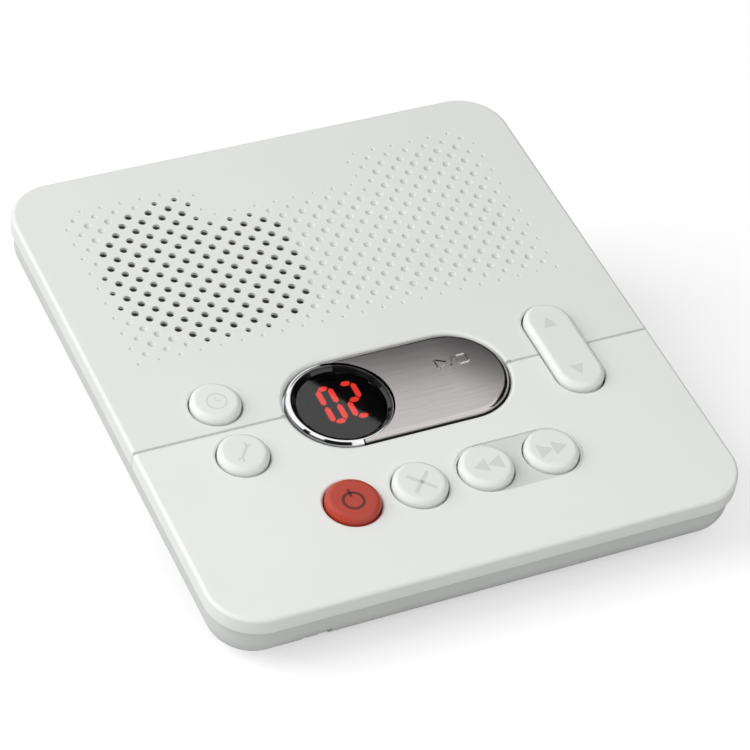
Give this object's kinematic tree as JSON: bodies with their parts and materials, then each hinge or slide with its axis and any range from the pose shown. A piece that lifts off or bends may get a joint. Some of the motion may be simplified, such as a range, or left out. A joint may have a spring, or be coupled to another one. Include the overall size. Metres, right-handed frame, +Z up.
{
  "type": "answering machine",
  "caption": "Desk telephone answering machine: sloping white case with a perforated speaker grille, round keys, a volume rocker, a lit message counter and an oval play and stop key.",
  "frame": {"origin": "on the desk under the middle of the bounding box, level with the bottoms of the rubber feet", "axes": "+X to the right, +Y from the low front edge to the high rear edge, +Z up"},
  "size_m": [0.14, 0.1492, 0.0536],
  "materials": {
    "white_plastic": "satin white moulded plastic",
    "base_plastic": "satin white moulded plastic",
    "red_plastic": "satin red",
    "silver_plastic": "satin plated silver",
    "lens_plastic": "smoked gloss",
    "black_plastic": "matt black",
    "lit_segment": "lit red",
    "foot_rubber": "matt",
    "gasket_foam": "foam",
    "steel": "plated",
    "cone_paper": "coated paper",
    "ferrite": "ferrite and zinc plate",
    "lead_insulation": "insulated wire",
    "board_green": "glass-fibre board",
    "contact_brass": "gold-flashed",
    "winding_tape": "laminated core and tape",
    "relay_case": "moulded case",
    "capacitor_sleeve": "shrink sleeve",
    "ribbon_insulation": "flat cable"
  },
  "bodies": {
    "housing": {"upper_housing": "white_plastic", "lower_housing": "base_plastic", "housing_screws": "steel", "rubber_feet": "foot_rubber", "display_bezel": "silver_plastic", "display_lens": "lens_plastic", "led_display": "black_plastic", "led_segments": "lit_segment", "speaker_gasket": "gasket_foam", "speaker_frame": "steel", "speaker_magnet": "ferrite", "speaker_clamps": "steel", "speaker_screws": "steel", "speaker_leads": "lead_insulation", "key_board": "board_green", "key_board_screws": "steel", "switch_bodies": "black_plastic", "rocker_pin": "steel", "main_board": "board_green", "main_board_screws": "steel", "line_socket": "black_plastic", "telephone_socket": "black_plastic", "socket_contacts": "contact_brass", "power_socket": "black_plastic", "power_pin": "steel", "line_transformer": "winding_tape", "line_relay": "relay_case", "capacitors": "capacitor_sleeve", "processor_chip": "black_plastic", "memory_chip": "black_plastic", "crystal": "steel", "regulator": "black_plastic", "ribbon_cable": "ribbon_insulation", "microphone": "steel", "microphone_boot": "foot_rubber"},
    "clock_button": {"clock_button": "white_plastic", "clock_plunger": "black_plastic"},
    "setup_button": {"setup_button": "white_plastic", "setup_plunger": "black_plastic"},
    "power_button": {"power_button": "red_plastic", "power_plunger": "black_plastic"},
    "delete_button": {"delete_button": "white_plastic", "delete_plunger": "black_plastic"},
    "repeat_button": {"repeat_button": "white_plastic", "repeat_plunger": "black_plastic"},
    "skip_button": {"skip_button": "white_plastic", "skip_plunger": "black_plastic"},
    "play_stop_key": {"play_stop_key": "silver_plastic", "play_stop_plungers": "black_plastic"},
    "volume_rocker": {"volume_rocker": "white_plastic"},
    "volume_up_plunger": {"volume_up_plunger": "black_plastic"},
    "volume_down_plunger": {"volume_down_plunger": "black_plastic"},
    "speaker_cone": {"speaker_cone": "cone_paper"}
  },
  "joints": [
    {"name": "clock_press", "type": "slide", "parent": "housing", "child": "clock_button", "axis": [0, 0.2419, -0.9703], "range_m": [0, 0.0008], "stiffness_N_per_m": 400},
    {"name": "setup_press", "type": "slide", "parent": "housing", "child": "setup_button", "axis": [0, 0.2419, -0.9703], "range_m": [0, 0.0008], "stiffness_N_per_m": 400},
    {"name": "power_press", "type": "slide", "parent": "housing", "child": "power_button", "axis": [0, 0.2419, -0.9703], "range_m": [0, 0.0008], "stiffness_N_per_m": 400},
    {"name": "delete_press", "type": "slide", "parent": "housing", "child": "delete_button", "axis": [0, 0.2419, -0.9703], "range_m": [0, 0.0008], "stiffness_N_per_m": 400},
    {"name": "repeat_press", "type": "slide", "parent": "housing", "child": "repeat_button", "axis": [0, 0.2419, -0.9703], "range_m": [0, 0.0008], "stiffness_N_per_m": 400},
    {"name": "skip_press", "type": "slide", "parent": "housing", "child": "skip_button", "axis": [0, 0.2419, -0.9703], "range_m": [0, 0.0008], "stiffness_N_per_m": 400},
    {"name": "play_stop_press", "type": "slide", "parent": "housing", "child": "play_stop_key", "axis": [0, 0.2419, -0.9703], "range_m": [0, 0.0008], "stiffness_N_per_m": 600},
    {"name": "volume_rock", "type": "hinge", "parent": "housing", "child": "volume_rocker", "pos_m": [0.0459, -0.0177, 0.02682], "axis": [1, 0, 0], "range_deg": [-3.2, 3.2], "stiffness_Nm_per_rad": 0.3},
    {"name": "volume_up_press", "type": "slide", "parent": "housing", "child": "volume_up_plunger", "axis": [0, 0.2419, -0.9703], "range_m": [0, 0.0004], "stiffness_N_per_m": 400},
    {"name": "volume_down_press", "type": "slide", "parent": "housing", "child": "volume_down_plunger", "axis": [0, 0.2419, -0.9703], "range_m": [0, 0.0004], "stiffness_N_per_m": 400},
    {"name": "speaker_cone_move", "type": "slide", "parent": "housing", "child": "speaker_cone", "axis": [0, -0.2419, 0.9703], "range_m": [-0.0005, 0.0005], "stiffness_N_per_m": 1500}
  ]
}
